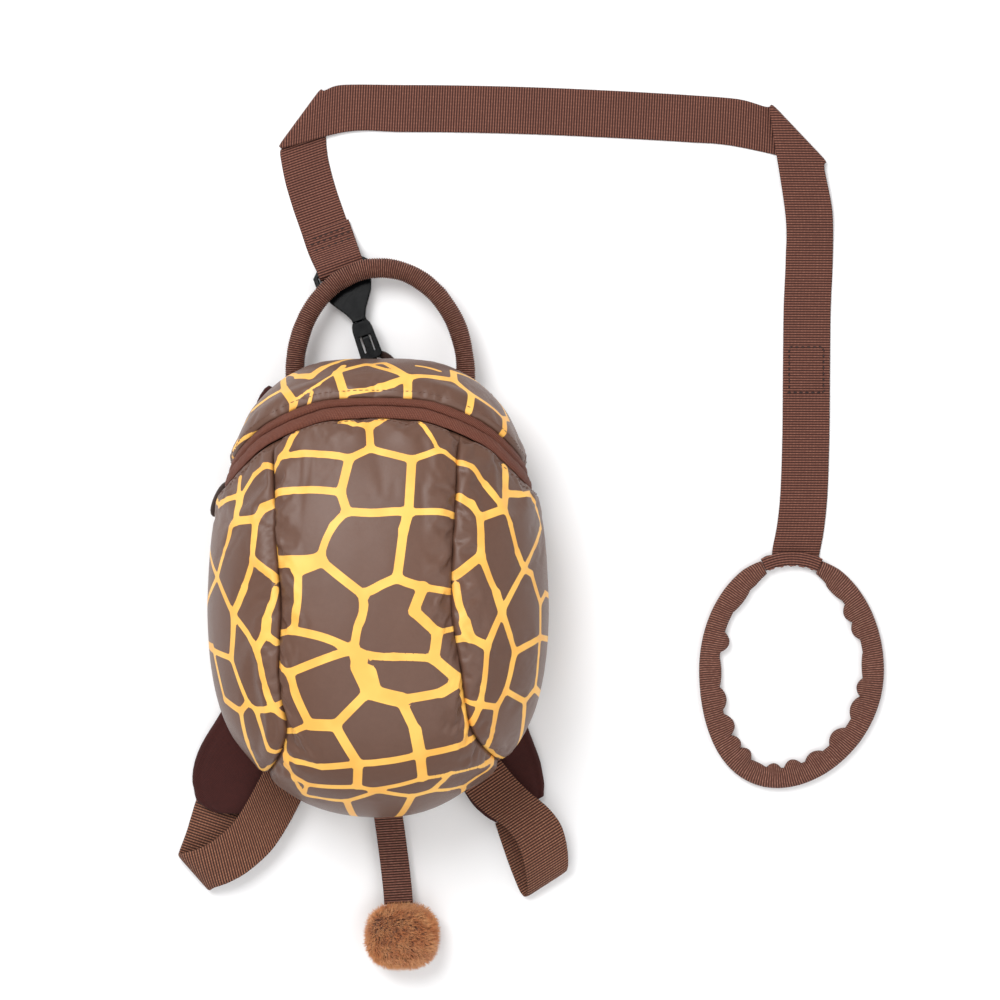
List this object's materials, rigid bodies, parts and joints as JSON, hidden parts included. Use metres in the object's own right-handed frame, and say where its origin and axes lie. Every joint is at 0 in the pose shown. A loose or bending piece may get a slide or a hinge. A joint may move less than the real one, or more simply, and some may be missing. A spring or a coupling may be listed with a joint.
{
  "type": "plush animal backpack",
  "caption": "Toddler's giraffe-print animal backpack lying on its back: domed zipped body, grab handle, padded straps, tail with pompom, and a snap-hooked rein with a wrist loop.",
  "frame": {"origin": "middle of the flat back face of the pack, which lies just above its two shoulder pads", "axes": "+Z out of the domed front, +Y towards the lid and the grab handle, +X towards the side where the rein lies"},
  "size_m": [0.3804, 0.4733, 0.1177],
  "materials": {
    "shell_fabric": "coated woven polyester with a yellow and brown giraffe print",
    "zip_tape": "ribbed tape",
    "slider_metal": "satin",
    "pull_cord": "satin",
    "back_fabric": "matte woven",
    "pad_fabric": "matte woven over foam",
    "strap_webbing": "woven webbing",
    "rein_webbing": "ribbed webbing",
    "ring_plastic": "satin",
    "black_plastic": "semi-gloss moulded",
    "tail_webbing": "woven webbing",
    "fur": "plush pile"
  },
  "bodies": {
    "pack": {"front_panel": "shell_fabric", "side_panel_left": "shell_fabric", "side_panel_right": "shell_fabric", "lid": "shell_fabric", "zip_tape_lower": "zip_tape", "zip_tape_upper": "zip_tape", "zip_slider": "slider_metal", "zip_pull": "pull_cord", "back_panel": "back_fabric", "shoulder_pad_left": "pad_fabric", "shoulder_pad_right": "pad_fabric", "strap_webbing_left": "strap_webbing", "strap_webbing_right": "strap_webbing", "grab_handle": "rein_webbing", "top_ring": "ring_plastic", "hook_base": "black_plastic", "hook_jaw": "black_plastic", "rein": "rein_webbing", "loop_join": "rein_webbing", "wrist_loop": "rein_webbing", "tail_webbing": "tail_webbing", "tail_pompom": "fur"},
    "tongue": {"hook_tongue": "black_plastic"}
  },
  "joints": [
    {"name": "tongue_press", "type": "hinge", "parent": "pack", "child": "tongue", "pos_m": [-0.00811, 0.13274, 0.00274], "axis": [0.9421, 0.3355, 0], "range_deg": [0, 18], "stiffness_Nm_per_rad": 0.02, "springref_deg": -2.86}
  ]
}
